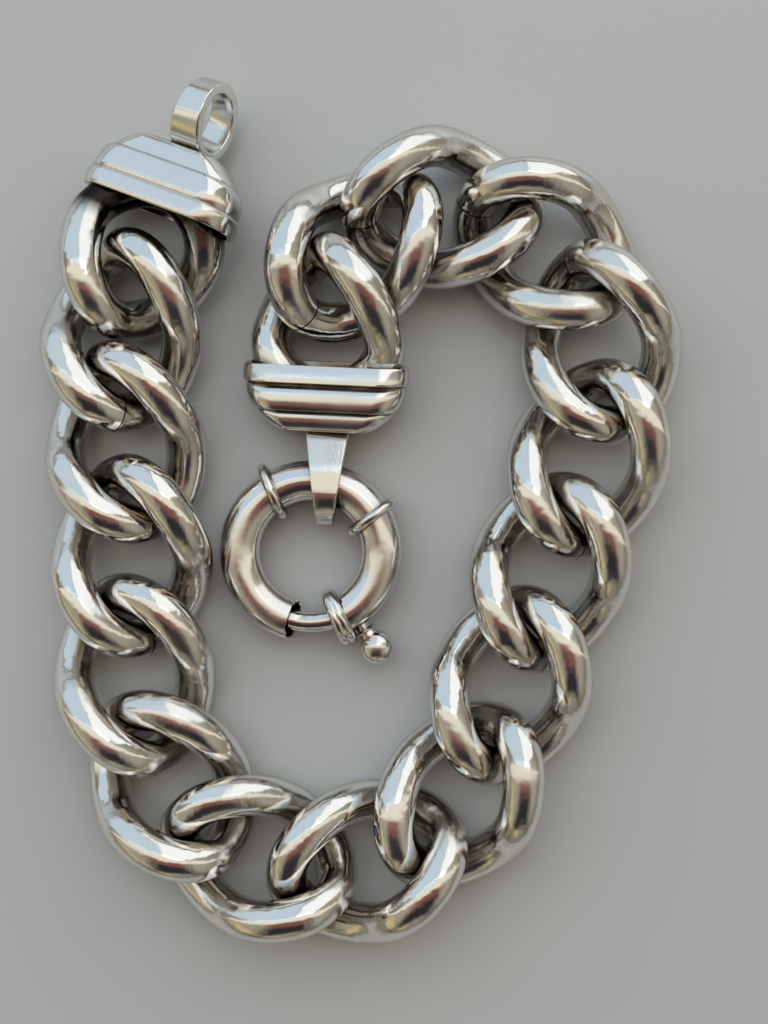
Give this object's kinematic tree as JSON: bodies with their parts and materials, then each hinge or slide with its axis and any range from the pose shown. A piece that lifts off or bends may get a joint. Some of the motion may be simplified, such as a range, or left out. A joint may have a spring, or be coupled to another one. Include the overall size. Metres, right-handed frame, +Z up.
{
  "type": "cuban link bracelet",
  "caption": "Heavy silver curb chain bracelet lying open in a loop, with a stepped end cap and eye at one end and a stepped cap with a bolt ring at the other.",
  "frame": {"origin": "on the surface it lies on, under the middle of the whole bracelet", "axes": "+Y along the longer way of the open loop, towards the end with the eye; +Z up, away from the surface; +X across the loop"},
  "size_m": [0.0624, 0.0846, 0.0115],
  "materials": {
    "link_silver": "polished silver with fine wear",
    "fitting_silver": "polished silver with fine wear",
    "ring_silver": "polished silver tube",
    "bolt_silver": "polished silver wire"
  },
  "bodies": {
    "chain": {"eye_end": "fitting_silver", "link_02": "link_silver", "link_03": "link_silver", "link_04": "link_silver", "link_05": "link_silver", "link_06": "link_silver", "link_07": "link_silver", "link_08": "link_silver", "link_09": "link_silver", "link_10": "link_silver", "link_11": "link_silver", "link_12": "link_silver", "link_13": "link_silver", "link_14": "link_silver", "link_15": "link_silver", "link_16": "link_silver", "clasp_end": "fitting_silver"},
    "clasp_ring": {"bolt_ring": "ring_silver"},
    "bolt": {"ring_bolt": "bolt_silver"}
  },
  "joints": [
    {"name": "ring_swing", "type": "hinge", "parent": "chain", "child": "clasp_ring", "pos_m": [-0.00349, 0.00294, 0.00302], "axis": [-0.9763, 0.2164, 0], "range_deg": [0, 100]},
    {"name": "bolt_slide", "type": "hinge", "parent": "clasp_ring", "child": "bolt", "pos_m": [-0.005, -0.00389, 0.00302], "axis": [0, 0, 1], "range_deg": [0, 40], "stiffness_Nm_per_rad": 0.02, "springref_deg": -20.05}
  ]
}
